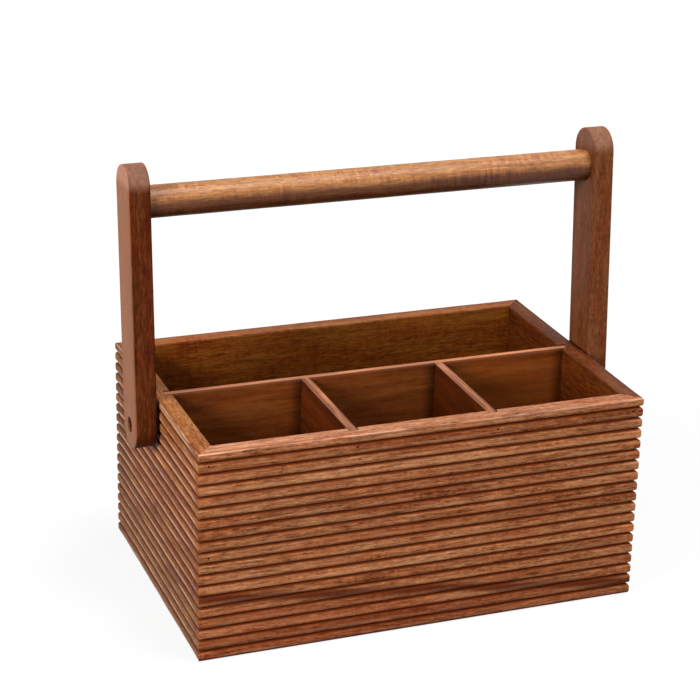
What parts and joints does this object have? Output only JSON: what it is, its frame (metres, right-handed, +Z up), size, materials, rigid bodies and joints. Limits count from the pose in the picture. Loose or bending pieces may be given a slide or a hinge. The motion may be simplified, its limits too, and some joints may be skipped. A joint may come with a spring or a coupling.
{
  "type": "utensil caddy",
  "caption": "Ribbed wooden table caddy with one long and three short open compartments, and a round carrying bar on two arms that swing on pivots in the end walls.",
  "frame": {"origin": "on the table, below the middle of the box", "axes": "+Z up, +X along the long side to the right seen from the front, -Y out of the front with the three short compartments behind it"},
  "size_m": [0.3526, 0.2084, 0.3108],
  "materials": {
    "wall_wood": "satin oiled hardwood, grain along the ribs",
    "divider_wood": "satin oiled hardwood",
    "panel_wood": "satin oiled hardwood",
    "arm_wood": "satin oiled hardwood, grain along the arm",
    "bar_wood": "satin oiled hardwood, grain along the bar",
    "screw_steel": "dark plated steel",
    "insert_brass": "plain brass",
    "brad_steel": "plain steel wire"
  },
  "bodies": {
    "caddy": {"front_wall": "wall_wood", "back_wall": "wall_wood", "left_wall": "wall_wood", "right_wall": "wall_wood", "long_divider": "divider_wood", "short_divider_left": "divider_wood", "short_divider_right": "divider_wood", "bottom_panel": "panel_wood", "left_pivot_screw": "screw_steel", "left_pivot_spacer": "screw_steel", "left_pivot_insert": "insert_brass", "right_pivot_screw": "screw_steel", "right_pivot_spacer": "screw_steel", "right_pivot_insert": "insert_brass", "front_left_brad_low": "brad_steel", "front_left_brad_middle": "brad_steel", "front_left_brad_high": "brad_steel", "front_right_brad_low": "brad_steel", "front_right_brad_middle": "brad_steel", "front_right_brad_high": "brad_steel", "back_left_brad_low": "brad_steel", "back_left_brad_middle": "brad_steel", "back_left_brad_high": "brad_steel", "back_right_brad_low": "brad_steel", "back_right_brad_middle": "brad_steel", "back_right_brad_high": "brad_steel", "divider_left_brad_middle": "brad_steel", "divider_left_brad_high": "brad_steel", "divider_right_brad_middle": "brad_steel", "divider_right_brad_high": "brad_steel"},
    "handle": {"left_arm": "arm_wood", "right_arm": "arm_wood", "handle_bar": "bar_wood"}
  },
  "joints": [
    {"name": "handle_swing", "type": "hinge", "parent": "caddy", "child": "handle", "pos_m": [0, 0, 0.131], "axis": [1, 0, 0], "range_deg": [-127, 134.8]}
  ]
}
